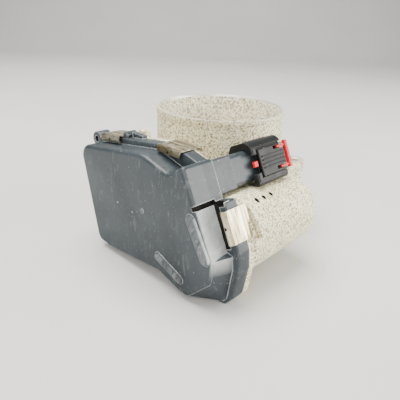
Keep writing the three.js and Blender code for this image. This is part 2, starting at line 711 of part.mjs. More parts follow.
// ---- harness plug: in the connector frame, Y runs in from the wall and Z up along it ----
const plugCorners = [
  [-3, 26.2, 1.5],
  [13, 30.5, 1],
  [16, 33, 2],
  [16, 46.5, 2],
  [11.5, 53, 2],
  [-3, 53, 3],
];
const barrelClearance = rodX(barrelRootR + 0.4, plugFrontX - 1, plugBackX + 1, motorY, motorZ, 48);
barrelClearance.applyMatrix4(connectorFrame.clone().invert());
let plugHousing = minus(
  solid(prismX(outline(plugCorners), plugFrontX, plugBackX)),
  leaningBar(plugFrontX - 1, socketEndX + 0.5, -0.4, socketDepth + 0.4, socketLow - 0.4, socketHigh + 0.4, 3),
  box(plugFrontX - 1, -37.5, -4, 1, 34, 45),
  box(-39, plugBackX + 1, -3.5, -0.9, 30.9, 49.3),
  barrelClearance
);
const tongueFrontX = -41;
const sealBackX = -14.5;
plugHousing = plugHousing.add(
  solid(leaningBar(tongueFrontX, socketEndX + 2, 3.2, socketDepth - 3.2, socketLow + 3.2, socketHigh - 3.2, 1))
);
plugHousing = minus(
  plugHousing,
  leaningBar(-20, plugBackX + 1, 2.6, 12, 32.6, 46.4, 1.5),
  ...pinPlaces.map(([deep, low]) => box(-50, plugBackX + 1, deep - 1, deep + 1, low - 1, low + 1))
);
piece('plug_housing', plugHousing, 'blackPlastic', connector);
pinPlaces.forEach(([deep, low], i) => {
  const sleeve = minus(
    solid(box(-38, -22, deep - 0.8, deep + 0.8, low - 0.8, low + 0.8)),
    box(-39, -30, deep - 0.5, deep + 0.5, low - 0.5, low + 0.5)
  );
  piece(`plug_terminal_${i + 1}`, sleeve, 'brass', connector);
});
const wireSeal = minus(
  solid(leaningBar(-19.6, sealBackX, 2.9, 11.7, 32.9, 46.1, 1.4)),
  ...pinPlaces.map(([deep, low]) => rodX(0.9, -21, sealBackX + 1, deep, low, 8))
);
piece('plug_wire_seal', wireSeal, 'rubber', connector);
const tongueSeal = minus(
  solid(leaningBar(-37, -34, 2.1, 12.4, 32.1, 46.9, 1.4)),
  leaningBar(-38, -33, 2.9, 11.6, 32.9, 46.1, 1)
);
piece('plug_seal', tongueSeal, 'rubber', connector);
piece('plug_lock_block', box(-42.4, -39, -2.6, -0.8, 37.9, 41.2), 'redPlastic', connector);

// latch lever with finger ribs, over a pocket in the plug's outer face; the position lock's arms run in
// two slots of it
const lockArms = [[32.8, 34.4], [44.8, 46.4]];
const latchRibs = [35.6, 37.8, 40, 42.2].map((low) => box(-36.5, -16, -4.6, -3.5, low, low + 1));
const latch = minus(
  union(leaningBar(-38.3, -14.8, -3.9, -2.4, 31.2, 47.4, 0.7), ...latchRibs),
  ...lockArms.map(([low, high]) => box(-24.6, -14, -5, -2, low - GAP, high + GAP))
);
piece('plug_latch', latch, 'blackPlastic', connector);
// U-shaped position lock: a bar across the back and an arm on each side of the latch
const lock = union(
  leaningBar(-12.6, -10.2, -4.4, -1.9, 31.6, 48.2, 0.8),
  ...lockArms.map(([low, high]) => box(-20.1, -12, -3.6, -2.2, low, high))
);
piece('plug_position_lock', lock, 'redPlastic', connector);

// ---- stand the box's bottom face centre on the origin ----
const extent = new THREE.Box3().setFromObject(assembly);
assembly.position.set(-(extent.min.x + extent.max.x) / 2, -(extent.min.y + extent.max.y) / 2, -extent.min.z);

export default assembly;
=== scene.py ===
import math

import bmesh
import bpy
import numpy as np
from mathutils import Matrix, Vector


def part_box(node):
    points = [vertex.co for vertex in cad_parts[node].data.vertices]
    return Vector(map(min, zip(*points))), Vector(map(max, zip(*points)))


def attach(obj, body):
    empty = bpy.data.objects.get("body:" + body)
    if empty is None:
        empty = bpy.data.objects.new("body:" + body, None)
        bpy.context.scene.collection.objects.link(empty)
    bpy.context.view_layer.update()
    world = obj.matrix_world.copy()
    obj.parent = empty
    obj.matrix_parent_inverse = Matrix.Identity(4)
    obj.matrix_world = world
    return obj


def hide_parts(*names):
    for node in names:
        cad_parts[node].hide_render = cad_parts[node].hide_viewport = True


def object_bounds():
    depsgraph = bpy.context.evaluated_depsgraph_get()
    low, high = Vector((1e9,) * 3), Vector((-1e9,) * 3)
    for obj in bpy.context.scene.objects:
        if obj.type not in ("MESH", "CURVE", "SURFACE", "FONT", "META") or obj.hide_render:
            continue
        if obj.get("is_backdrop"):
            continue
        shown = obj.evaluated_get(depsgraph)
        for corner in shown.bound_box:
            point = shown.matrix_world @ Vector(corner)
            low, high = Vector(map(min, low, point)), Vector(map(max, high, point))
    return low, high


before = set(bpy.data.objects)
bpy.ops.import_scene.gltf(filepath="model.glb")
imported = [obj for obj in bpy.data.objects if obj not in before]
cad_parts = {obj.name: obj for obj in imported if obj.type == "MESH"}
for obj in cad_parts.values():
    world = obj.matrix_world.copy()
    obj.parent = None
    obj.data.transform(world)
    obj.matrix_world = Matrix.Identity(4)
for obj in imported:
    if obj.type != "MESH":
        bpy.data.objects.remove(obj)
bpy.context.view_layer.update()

# ---------------------------------------------------------------------------------------------
# Throttle housing. One sand-textured aluminium casting: bore and inlet spigot, square engine
# flange with four bolt bosses, the motor barrel and the back of the gear case. The skins are
# fused first, as the casting is, and the machined faces, bore and holes are cut afterwards.
# ---------------------------------------------------------------------------------------------
MM = 0.001
plate_low, plate_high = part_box("throttle_plate")
bore_at = ((plate_low + plate_high) / 2) * 1000  # bore axis and shaft height, mm
shaft_z = bore_at.z
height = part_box("throttle_housing")[1].z * 1000
bore_r = 40
spigot_r = 44.5
bead_r = 45.1
boss_span = 40
boss_r = 7.7
boss_top = 47.5
boss_hole_r = 3.3
motor_y = -66
motor_z = 33


def turned(profile, axis="z", at=(0, 0), sides=96):
    """Rings of a turned shape. The profile is (radius, distance along the axis)."""
    a = np.linspace(0, 2 * math.pi, sides, endpoint=False)
    rings = []
    for r, h in profile:
        r = max(r, 0.001)
        if axis == "z":
            ring = np.stack([at[0] + r * np.cos(a), at[1] + r * np.sin(a), np.full(sides, h)], 1)
        else:
            ring = np.stack([np.full(sides, h), at[0] + r * np.cos(a), at[1] + r * np.sin(a)], 1)
        rings.append(ring)
    return rings


def rounded(corners, grow=0.0, per_corner=7):
    """Points of a corner list (across, up, radius), anticlockwise, each side moved out by grow."""
    n = len(corners)
    xy = np.array([c[:2] for c in corners], float)
    along = np.roll(xy, -1, 0) - xy
    along /= np.linalg.norm(along, axis=1)[:, None]
    out = np.stack([along[:, 1], -along[:, 0]], 1)
    start = xy + out * grow
    points = []
    for i in range(n):
        a, b = along[i - 1], along[i]
        cross = a[0] * b[1] - a[1] * b[0]
        d = start[i] - start[i - 1]
        t = (d[0] * b[1] - d[1] * b[0]) / cross
        corner = start[i - 1] + a * t
        r = max(0.15, corners[i][2] + math.copysign(grow, grow * cross) if grow else corners[i][2])
        turn = math.atan2(cross, float(a @ b))
        tangent = r * abs(math.tan(turn / 2))
        centre = corner - a * tangent + np.array([-a[1], a[0]]) * math.copysign(r, cross)
        first = corner - a * tangent - centre
        for k in range(per_corner):
            w = turn * k / (per_corner - 1)
            c, s = math.cos(w), math.sin(w)
            points.append(centre + (c * first[0] - s * first[1], s * first[0] + c * first[1]))
    return np.array(points)


def section(points, x):
    """An outline of (y, z) points as a ring at x."""
    return np.column_stack([np.full(len(points), float(x)), points])


def block(x0, x1, y0, y1, z0, z1):
    """Two rings of a plain block."""
    corners = [(y0, z0), (y1, z0), (y1, z1), (y0, z1)]
    return [section(np.array(corners, float), x0), section(np.array(corners, float), x1)]


def spun(rings, degrees):
    """Rings turned about the bore axis."""
    c, s = math.cos(math.radians(degrees)), math.sin(math.radians(degrees))
    turn = np.array([[c, -s, 0], [s, c, 0], [0, 0, 1]])
    return [ring @ turn.T for ring in rings]


def skin(name, *shapes, looped=False):
    """One mesh object from lists of rings, each list a closed skin."""
    verts, faces = [], []
    for rings in shapes:
        n, base = len(rings[0]), len(verts)
        verts += [tuple(p) for ring in rings for p in ring]
        count = len(rings)
        for k in range(count if looped else count - 1):
            a, b = base + k * n, base + ((k + 1) % count) * n
            faces += [(a + i, a + (i + 1) % n, b + (i + 1) % n, b + i) for i in range(n)]
        if not looped:
            faces.append(tuple(base + i for i in reversed(range(n))))
            faces.append(tuple(base + (count - 1) * n + i for i in range(n)))
    mesh = bpy.data.meshes.new(name)
    mesh.from_pydata([((x + bore_at.x) * MM, (y + bore_at.y) * MM, z * MM) for x, y, z in verts], [], faces)
    bm = bmesh.new()
    bm.from_mesh(mesh)
    bmesh.ops.recalc_face_normals(bm, faces=bm.faces)
    bm.to_mesh(mesh)
    bm.free()
    obj = bpy.data.objects.new(name, mesh)
    bpy.context.scene.collection.objects.link(obj)
    return obj


def settle(obj):
    """Applies an object's modifiers."""
    graph = bpy.context.evaluated_depsgraph_get()
    made = bpy.data.meshes.new_from_object(obj.evaluated_get(graph))
    old = obj.data
    obj.modifiers.clear()
    obj.data = made
    bpy.data.meshes.remove(old)
    return obj


def fuse(obj, voxel, smooth):
    """Fuses overlapping skins into one casting with softened edges."""
    remesh = obj.modifiers.new("fuse", "REMESH")
    remesh.mode = "VOXEL"
    remesh.voxel_size = voxel * MM
    soften = obj.modifiers.new("soften", "SMOOTH")
    soften.factor = 0.5
    soften.iterations = smooth
    return settle(obj)


def carve(obj, tool, how="DIFFERENCE"):
    """Cuts a tool from a piece, or joins it on. Fresh faces keep the tool's material."""
    step = obj.modifiers.new("carve", "BOOLEAN")
    step.operation = how
    step.object = tool
    step.solver = "MANIFOLD"
    settle(obj)
    bpy.data.objects.remove(tool)
    return obj


def crisp(obj, degrees=32):
    """Smooth shading with edges sharper than the angle kept."""
    for poly in obj.data.polygons:
        poly.use_smooth = True
    obj.data.set_sharp_from_angle(angle=math.radians(degrees))
    return obj


class Finish:
    """A node-built material: helpers to add and join nodes."""

    def __init__(self, name, roughness, metallic=0.0, coat=0.0, specular=0.5):
        self.material = bpy.data.materials.new(name)
        self.material.use_nodes = True
        self.nodes = self.material.node_tree.nodes
        self.links = self.material.node_tree.links
        self.shader = self.nodes["Principled BSDF"]
        self.shader.inputs["Metallic"].default_value = metallic
        self.shader.inputs["Roughness"].default_value = roughness
        self.shader.inputs["Coat Weight"].default_value = coat
        self.shader.inputs["Specular IOR Level"].default_value = specular
        self.place = self.nodes.new("ShaderNodeTexCoord").outputs["Object"]

    def noise(self, scale, detail=4.0, rough=0.6, stretch=None, distortion=0.0):
        place = self.place
        if stretch:
            mapping = self.nodes.new("ShaderNodeMapping")
            mapping.inputs["Scale"].default_value = stretch
            self.links.new(place, mapping.inputs["Vector"])
            place = mapping.outputs["Vector"]
        node = self.nodes.new("ShaderNodeTexNoise")
        node.inputs["Scale"].default_value = scale
        node.inputs["Detail"].default_value = detail
        node.inputs["Roughness"].default_value = rough
        node.inputs["Distortion"].default_value = distortion
        self.links.new(place, node.inputs["Vector"])
        return node.outputs["Fac"]

    def facing(self, direction, low, high):
        """0 to 1 as a surface turns towards a direction."""
        geometry = self.nodes.new("ShaderNodeNewGeometry")
        dot = self.nodes.new("ShaderNodeVectorMath")
        dot.operation = "DOT_PRODUCT"
        dot.inputs[1].default_value = direction
        self.links.new(geometry.outputs["Normal"], dot.inputs[0])
        return self.level(dot.outputs["Value"], low, high, 0, 1)

    def place_level(self, axis, low, high, to_low, to_high):
        """A value that runs along X, Y or Z between two places in mm."""
        split = self.nodes.new("ShaderNodeSeparateXYZ")
        self.links.new(self.place, split.inputs["Vector"])
        return self.level(split.outputs[axis], low * MM, high * MM, to_low, to_high)

    def ramp(self, source, stops):
        node = self.nodes.new("ShaderNodeValToRGB")
        ends = node.color_ramp.elements
        while len(ends) < len(stops):
            ends.new(0.5)
        for end, (where, colour) in zip(ends, stops):
            end.position = where
            end.color = (*colour, 1) if len(colour) == 3 else colour
        self.links.new(source, node.inputs["Fac"])
        return node.outputs["Color"]

    def level(self, source, low, high, to_low, to_high):
        node = self.nodes.new("ShaderNodeMapRange")
        for name, value in zip(("From Min", "From Max", "To Min", "To Max"), (low, high, to_low, to_high)):
            node.inputs[name].default_value = value
        self.links.new(source, node.inputs["Value"])
        return node.outputs["Result"]

    def mix(self, factor, one, two, how="MIX"):
        node = self.nodes.new("ShaderNodeMix")
        node.data_type = "RGBA"
        node.blend_type = how
        sockets = (node.inputs["Factor"], node.inputs["A"], node.inputs["B"])
        for socket, value in zip(sockets, (factor, one, two)):
            if isinstance(value, (int, float)):
                socket.default_value = value
            elif isinstance(value, tuple):
                socket.default_value = (*value, 1)
            else:
                self.links.new(value, socket)
        return next(o for o in node.outputs if o.type == "RGBA" and o.enabled)

    def math(self, how, one, two=0.0):
        node = self.nodes.new("ShaderNodeMath")
        node.operation = how
        for socket, value in zip(node.inputs, (one, two)):
            if isinstance(value, (int, float)):
                socket.default_value = value
            else:
                self.links.new(value, socket)
        return node.outputs[0]

    def edges(self, radius, low=0.02, high=0.3):
        """1 at an edge, 0 on flats: how far a rounded normal turns from the true one."""
        bevel = self.nodes.new("ShaderNodeBevel")
        bevel.samples = 6
        bevel.inputs["Radius"].default_value = radius * MM
        geometry = self.nodes.new("ShaderNodeNewGeometry")
        dot = self.nodes.new("ShaderNodeVectorMath")
        dot.operation = "DOT_PRODUCT"
        self.links.new(bevel.outputs["Normal"], dot.inputs[0])
        self.links.new(geometry.outputs["Normal"], dot.inputs[1])
        return self.level(dot.outputs["Value"], 1 - low, 1 - high, 0, 1)

    def colour(self, source):
        self.links.new(source, self.shader.inputs["Base Color"])

    def roughness(self, source):
        self.links.new(source, self.shader.inputs["Roughness"])

    def bump(self, *layers):
        """Each layer is (height source, depth in mm)."""
        normal = None
        for source, depth in layers:
            node = self.nodes.new("ShaderNodeBump")
            node.inputs["Strength"].default_value = 1
            node.inputs["Distance"].default_value = depth * MM
            self.links.new(source, node.inputs["Height"])
            if normal:
                self.links.new(normal, node.inputs["Normal"])
            normal = node.outputs["Normal"]
        self.links.new(normal, self.shader.inputs["Normal"])


def cast_skin():
    """Shot-blasted cast aluminium: warm pale grey with fine dark pits and dull stains."""
    f = Finish("cast_aluminium_skin", roughness=0.6, metallic=0.08)
    grain = f.noise(2600, 2, 0.7)
    pits = f.noise(880, 3, 0.8)
    stains = f.noise(34, 5, 0.65, distortion=0.6)
    base = f.ramp(stains, [(0.3, (0.74, 0.69, 0.50)), (0.5, (0.86, 0.82, 0.65)), (0.75, (0.92, 0.90, 0.76))])
    dark, mid, bright = (0.16, 0.13, 0.07), (0.74, 0.69, 0.55), (1.18, 1.16, 1.07)
    speckle = f.ramp(pits, [(0.39, dark), (0.475, mid), (0.55, bright)])
    shade = f.mix(0.95, base, speckle, "MULTIPLY")
    fine = f.ramp(grain, [(0.3, (0.72, 0.71, 0.68)), (0.6, (1.06, 1.06, 1.05))])
    f.colour(f.mix(0.6, shade, fine, "MULTIPLY"))
    f.roughness(f.level(pits, 0.3, 0.7, 0.72, 0.5))
    f.bump((pits, 0.42), (grain, 0.08))
    return f.material


def machined_face():
    """Turned or milled aluminium: brighter, with fine tool lines and a few scratches."""
    f = Finish("machined_aluminium", roughness=0.42, metallic=0.6)
    lines = f.noise(900, 2, 0.5, stretch=(1, 1, 6))
    smudge = f.noise(45, 4, 0.6)
    f.colour(f.ramp(smudge, [(0.3, (0.74, 0.715, 0.62)), (0.7, (0.88, 0.87, 0.79))]))
    f.roughness(f.level(smudge, 0.3, 0.7, 0.5, 0.34))
    f.bump((lines, 0.03))
    return f.material


def bore_wall():
    """The bore and the cone above it: a pale dip coat that has gone speckled and brown."""
    f = Finish("bore_coating", roughness=0.62, metallic=0.05)
    specks = f.noise(620, 4, 0.8)
    blotch = f.noise(60, 4, 0.6)
    brown, tan, pale = (0.13, 0.09, 0.04), (0.66, 0.58, 0.38), (0.97, 0.94, 0.80)
    dirt = f.ramp(specks, [(0.42, brown), (0.485, tan), (0.56, pale)])
    f.colour(f.mix(f.level(blotch, 0.3, 0.7, 0.0, 0.35), dirt, (0.88, 0.83, 0.66)))
    f.bump((specks, 0.25))
    return f.material


def recess_shade_paint():
    """Painted shade for recesses and creases: a dull brown-black, near black, with a little mottling and
    bump.
    """
    f = Finish("recess_shade_paint", roughness=0.85, specular=0.15)
    f.colour(f.ramp(f.noise(260, 4, 0.65), [(0.35, (0.006, 0.006, 0.006)), (0.7, (0.022, 0.020, 0.017))]))
    f.bump((f.noise(900, 3, 0.6), 0.06))
    return f.material


cast_material = cast_skin()
machined_material = machined_face()
bore_material = bore_wall()
recess_shade_material = recess_shade_paint()

case_front_x = -70.6
flange_back_x = -66
floor_x = -62
case_back_x = -58
barrel_root_r = 23.2
barrel_end_r = 22
barrel_fillet = 9
case_corners = [
    (36.2, 66.2, 8), (-26, 75.6, 22), (-43.7, 70.6, 2), (-53.2, 50.4, 2), (-67.8, 57.5, 1), (-80, 32.3, 4),
    (-79.2, 18.7, 4), (-63.5, 3, 4), (-57, 3.4, 8), (-40, 8.3, 14), (8, 3.2, 10), (21.2, 3.8, 6),
]
joint_lower = [
    (-75.2, 60.8, 1.5), (-87.3, 35.6, 6), (-88.3, 26, 6), (-85.6, 7.5, 7), (-80, 0.5, 4), (-59, 0.5, 5),
    (-51, 3.8, 2), (-26, 3.8, 3), (-16, 0.9, 6), (24.5, 0.9, 6), (40.5, 70.4, 7),
]
joint_corners = joint_lower + [(-27, 78.3, 3), (-43.7, 78.3, 1.5), (-43.7, 69.8, 2), (-53.2, 50.4, 1.5)]


def bead_arc(radius, fillet, end, steps=8):
    """Profile of a barrel's domed end edge."""
    profile = []
    for k in range(steps + 1):
        a = math.radians(90 * k / steps)
        profile.append((radius - fillet * (1 - math.cos(a)), end - fillet * (1 - math.sin(a))))
    return profile


lean_angle = math.radians(25.9)
lean_foot = (-80, 32.3)


def lean(rings):
    """Rings given as (x, depth in from the leaning side wall, distance up it) in the bore frame."""
    c, s = math.cos(lean_angle), math.sin(lean_angle)
    placed = []
    for ring in rings:
        x, deep, up = ring.T
        placed.append(np.stack([x, lean_foot[0] + deep * c + up * s, lean_foot[1] - deep * s + up * c], 1))
    return placed


spigot_profile = [
    (0, 1), (spigot_r, 1), (spigot_r, 20), (spigot_r, height - 4.2), (bead_r, height - 3),
    (bead_r, height + 1), (0, height + 1),
]
barrel_profile = [(0, -66.3), (barrel_root_r, -66.3)]
barrel_profile += bead_arc(barrel_end_r, barrel_fillet, 0) + [(0, 0)]
square = boss_span + boss_r - 0.12
flange_corners = [(square * x, square * y, boss_r) for x, y in ((1, 1), (-1, 1), (-1, -1), (1, -1))]
flange_outline = rounded(flange_corners)
flange_rings = [np.column_stack([flange_outline, np.full(len(flange_outline), z)]) for z in (-1.0, 9.0)]
skins = [
    turned(spigot_profile, sides=160),
    turned(barrel_profile, "x", (motor_y, motor_z), 120),
    flange_rings,
    [section(rounded(case_corners), x) for x in (case_front_x - 1, case_back_x)],
    [section(rounded(joint_corners), x) for x in (case_front_x - 1, flange_back_x)],
    turned([(0, -59), (14.5, -59), (14, -41), (0, -41)], "x", (0, shaft_z)),
    turned([(0, 39), (11.3, 39), (11, 52), (0, 52)], "x", (0, shaft_z)),
    turned([(0, -59), (7, -59), (6.6, -46), (0, -46)], "x", (-35, 40.9), 48),
    block(-59, -38, -3, 3, 8, 68),
    block(-59, -30, -50, 24, shaft_z - 3, shaft_z + 3),
    block(-59, -6, -62, -36, 14, 46),
    block(-70.4, -66, -3.5, 3.5, 72, 79.4),
]
gusset = np.array([(-10, 12), (boss_span, 4), (boss_span, 46), (26, 46), (-10, 36)], float)
skins.append([np.column_stack([gusset[:, 0], np.full(5, y), gusset[:, 1]]) for y in (-47.4, -36)])
reach = boss_span * math.sqrt(2)
boss_skin_r = boss_r - 0.06
boss_profile = [(0, 0), (boss_skin_r, 0), (boss_skin_r, boss_top + 1), (0, boss_top + 1)]
for turn in (45, 135, 225, 315):
    boss_x = reach * math.cos(math.radians(turn))
    boss_y = reach * math.sin(math.radians(turn))
    skins.append(turned(boss_profile, "z", (boss_x, boss_y), 48))
    skins.append(spun(block(41, reach, -4, 4, 0, boss_top - 4), turn))
housing = skin("housing_casting", *skins)
fuse(housing, voxel=0.85, smooth=4)
housing.data.materials.append(cast_material)


def painted(tool, like, material):
    """Gives a tool the piece's list of materials, and its own faces one of them."""
    if material.name not in [m.name for m in like.data.materials]:
        like.data.materials.append(material)
    for each in like.data.materials:
        tool.data.materials.append(each)
    index = [m.name for m in like.data.materials].index(material.name)
    tool.data.polygons.foreach_set("material_index", [index] * len(tool.data.polygons))
    return tool


def cut(obj, material, *shapes):
    """Cuts each shape in turn; the fresh faces take the material."""
    for shape in shapes:
        carve(obj, painted(skin("cut", shape), obj, material))


def join(obj, material, *shapes):
    """Joins each shape on in turn, in the given material."""
    for shape in shapes:
        carve(obj, painted(skin("join", shape), obj, material), "UNION")


def rod(radius, x0, x1, y=0, z=0, sides=64):
    return turned([(0, x0), (radius, x0), (radius, x1), (0, x1)], "x", (y, z), sides)


def post(radius, z0, z1, x=0, y=0, sides=48):
    return turned([(0, z0), (radius, z0), (radius, z1), (0, z1)], "z", (x, y), sides)


cut(housing, machined_material, post(60, height, height + 5, sides=96), block(-80, 80, -95, 80, -6, 0))
cut(housing, machined_material, block(-78, case_front_x, -95, 60, -5, 90), block(51, 60, -20, 20, 20, 60))
cut(housing, bore_material, post(bore_r, -1, 73, sides=160))
cone_r, cone_top = 42.5, 83.6  # the bore opens in a cast cone, then in a short turned mouth
cone = [(0, 72.6), (bore_r - 0.05, 72.6), (bore_r, 73), (cone_r, cone_top), (0, cone_top)]
cut(housing, bore_material, turned(cone, sides=160))
mouth_from = cone_top - 0.2
lead_in = [(0, mouth_from), (cone_r - 0.05, mouth_from), (42.6, 84), (43.6, height + 0.5), (0, height + 0.5)]
cut(housing, machined_material, turned(lead_in, sides=160))
bolt_hole = [
    (0, -1), (boss_hole_r, -1), (boss_hole_r, boss_top - 0.7), (boss_hole_r + 0.9, boss_top + 0.2),
    (0, boss_top + 0.2),
]
for x in (-boss_span, boss_span):
    for y in (-boss_span, boss_span):
        cut(housing, machined_material, post(boss_r + 0.7, boss_top, boss_top + 3, x, y))
        cut(housing, machined_material, turned(bolt_hole, "z", (x, y), 48))
cut(
    housing,
    cast_material,
    [section(rounded(case_corners, -4), x) for x in (case_front_x - 1, floor_x)],
    rod(17.2, case_front_x - 1, -4, motor_y, motor_z),
    lean([section(np.array([(-12, 29.6), (15.9, 29.6), (15.9, 60), (-12, 60)]), x) for x in (-71.6, -57)]),
    lean([section(np.array([(-14, 3), (-5.7, 3), (-5.7, 26), (-14, 26)]), x) for x in (-66, -61.5)]),
)
cut(
    housing,
    machined_material,
    rod(5.15, -63, 52, 0, shaft_z),
    rod(9.2, -63, -53, 0, shaft_z),
    rod(7.7, 43, 52, 0, shaft_z),
    rod(2.8, -63, -49, -35, 40.93),
)
# three shallow dimples on the barrel; their faces are painted near black as shade
dimple_r, dimple_half = 1.9, 1.5
for x in (-51.9, -45.4, -38.7):
    arc = [math.radians(a) for a in range(0, 181, 15)]
    dimple = [(dimple_r * math.sin(a), x - dimple_half * math.cos(a)) for a in arc]
    cut(housing, recess_shade_material, turned(dimple, "x", (-75.8, 54.5), 20))


def groove(obj, material, outer, inner):
    """Cuts the band between an outer and an inner outline, each given as two matching rings."""
    tool = skin("groove", [outer[0], outer[1], inner[1], inner[0]], looped=True)
    carve(obj, painted(tool, obj, material))


rim_x = (case_front_x - 1, case_front_x + 1.5)
rim = [[section(rounded(joint_corners, grow), x) for x in rim_x] for grow in (-0.8, -2.4)]
groove(housing, machined_material, *rim)
under = [turned([(r, -1), (r, 2.2)], sides=120) for r in (45.2, 42.2)]
groove(housing, machined_material, *under)
crisp(housing)
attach(housing, "housing")
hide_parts("throttle_housing")

# ---------------------------------------------------------------------------------------------
# Gear cover. Glass-filled nylon moulding, dark blue-grey: a dished front with a soft edge, a wide
# skirt on the joint, the connector block and the socket that the harness plug goes over. The
# spring clips hold it to the casting on a rubber seal.
# ---------------------------------------------------------------------------------------------
cover_front = -92
skirt_front = -79
cover_back = -71
cover_corners = [
    (36.2, 66.2, 8), (-26, 75.6, 22), (-46.8, 70.2, 5), (-57.9, 77.6, 2), (-80, 32.3, 4), (-79.2, 18.7, 4),
    (-63.5, 3, 4), (-57, 3.4, 8), (-40, 8.3, 14), (8, 3.2, 10), (21.2, 3.8, 6),
]
skirt_corners = joint_lower + [(-27, 78.3, 3), (-46.5, 78.3, 1), (-57.3, 75.4, 1.5), (-66.4, 57.4, 0.5)]


def prism(corners, x0, x1, front=0.0, back=0.0, steps=7, place=section, per_corner=7):
    """A bar along the shaft with the given outline and rounded edges at its two ends."""
    rings = []
    for k in range(steps + 1 if front else 1):
        a = math.radians(90 * k / steps)
        outline = rounded(corners, -front * (1 - math.sin(a)), per_corner)
        rings.append(place(outline, x0 + front * (1 - math.cos(a))))
    for k in range(steps + 1 if back else 1):
        a = math.radians(90 - 90 * k / steps)
        outline = rounded(corners, -back * (1 - math.sin(a)), per_corner)
        rings.append(place(outline, x1 - back * (1 - math.cos(a))))
    return rings


def bar(x0, x1, deep0, deep1, low, high, r, front=0.0, back=0.0):
    """A rounded bar in the connector's leaning frame."""
    corners = [(deep0, low, r), (deep1, low, r), (deep1, high, r), (deep0, high, r)]
    return lean(prism(corners, x0, x1, front, back, steps=4))


def cover_plastic():
    """Fine spark-eroded texture, pale scuffs, grey dust, and pale edges, raised-rib tops and a connector side
    wall that are partly wear and partly painted highlight.
    """
    f = Finish("cover_nylon", roughness=0.36, specular=0.36, coat=0.06)
    texture = f.noise(1900, 2, 0.6)
    flow = f.noise(22, 5, 0.6, distortion=0.8)
    scuff = f.noise(95, 6, 0.72, stretch=(1.0, 2.6, 0.8), distortion=1.2)
    dust = f.noise(620, 3, 0.6)
    base = f.ramp(flow, [(0.3, (0.016, 0.022, 0.027)), (0.7, (0.042, 0.054, 0.062))])
    marks = f.level(scuff, 0.55, 0.74, 0, 0.42)
    worn = f.mix(marks, base, (0.20, 0.215, 0.22))
    # paler where the connector side wall faces out towards the right softbox: a painted reflection mixed with
    # whitish wear
    side_wall_reflection_and_wear = f.facing((-0.25, -0.963, 0.1), 0.80, 0.97)
    ahead_of_skirt = f.place_level("X", bore_at.x - 79.6, bore_at.x - 78.6, 1, 0)
    on_wall = f.math("MULTIPLY", ahead_of_skirt, f.place_level("Z", 23, 34, 0, 1))
    on_wall = f.math("MULTIPLY", on_wall, f.place_level("Z", 56, 60, 1, 0.1))
    side_wall_reflection_and_wear = f.math("MULTIPLY", f.math("MULTIPLY", side_wall_reflection_and_wear, on_wall), f.level(scuff, 0.3, 0.7, 0.6, 1.0))
    worn = f.mix(side_wall_reflection_and_wear, worn, (0.62, 0.65, 0.64))
    # paler tops on the raised ribs: scuffing and a painted highlight
    rib_top_highlight_and_scuff = f.place_level("X", bore_at.x - 93.7, bore_at.x - 92.5, 1, 0)
    worn = f.mix(f.math("MULTIPLY", rib_top_highlight_and_scuff, f.level(scuff, 0.40, 0.6, 0.05, 0.4)), worn, (0.34, 0.36, 0.36))
    specks = f.level(dust, 0.66, 0.74, 0, 0.7)
    dusty = f.mix(specks, worn, (0.34, 0.34, 0.32))
    # pale edges: worn-through wear and a painted highlight
    edge_wear_and_highlight = f.math("MULTIPLY", f.edges(1.0, 0.015, 0.22), f.level(scuff, 0.36, 0.56, 0.25, 1.0))
    f.colour(f.mix(edge_wear_and_highlight, dusty, (0.66, 0.69, 0.68)))
    duller_low = f.place_level("Z", 4, 46, 0.26, 0)
    f.roughness(f.math("ADD", f.level(scuff, 0.35, 0.75, 0.33, 0.52), duller_low))
    f.bump((texture, 0.045), (scuff, 0.05))
    return f.material


nylon = cover_plastic()
cover_shell = prism(cover_corners, cover_front, cover_back, front=2.4, steps=9, per_corner=11)
cover = skin("gear_cover_moulding", cover_shell)
cover.data.materials.append(nylon)
join(cover, nylon, prism(skirt_corners, skirt_front, cover_back, front=0.9, back=0.35, steps=4, per_corner=9))
join(cover, nylon, prism([(30, 63.2, 4.55), (39.2, 63.2, 4.55), (39.2, 72.4, 4.55), (30, 72.4, 4.55)],
                         skirt_front - 1, cover_back, front=0.6, steps=3, per_corner=9))
knob = [
    (0, skirt_front + 0.4), (1.9, skirt_front + 0.4), (2.4, skirt_front + 0.9), (2.4, cover_back),
    (0, cover_back),
]
join(cover, nylon, turned(knob, "x", (5.6, 76), 32))
arm = [(-6, 74, 0.5), (7, 74, 0.5), (7, 77.8, 0.5), (-6, 77.8, 0.5)]
join(cover, nylon, prism(arm, -74.5, cover_back, front=0.4, steps=3))
first_step, second_step = 0.7, 1.1  # the connector block narrows twice towards the socket
join(cover, nylon, bar(cover_back - 4, -57, first_step, 15.5, 30.2, 49.2, 1, back=0.4))
join(cover, nylon, bar(-58.5, -27, second_step, 14.5, 30.4, 49, 3, back=0.5))
nub = [(0, cover_front - 0.5), (1.0, cover_front - 0.5), (1.45, cover_front - 0.1), (1.6, -91), (0, -91)]
join(cover, nylon, turned(nub, "x", (-26.3, 42), 32))


def softened_hull(name, points, edge):
    """The hull of some points with its edges rounded, as one mesh object."""
    hull = bmesh.new()
    for x, y, z in points:
        hull.verts.new(((x + bore_at.x) * MM, (y + bore_at.y) * MM, z * MM))
    bmesh.ops.convex_hull(hull, input=hull.verts)
    bmesh.ops.dissolve_limit(hull, angle_limit=0.01, verts=hull.verts, edges=hull.edges)
    mesh = bpy.data.meshes.new(name)
    hull.to_mesh(mesh)
    hull.free()
    obj = bpy.data.objects.new(name, mesh)
    bpy.context.scene.collection.objects.link(obj)
    soft = obj.modifiers.new("edges", "BEVEL")
    soft.width = edge * MM
    soft.segments = 4
    return settle(obj)


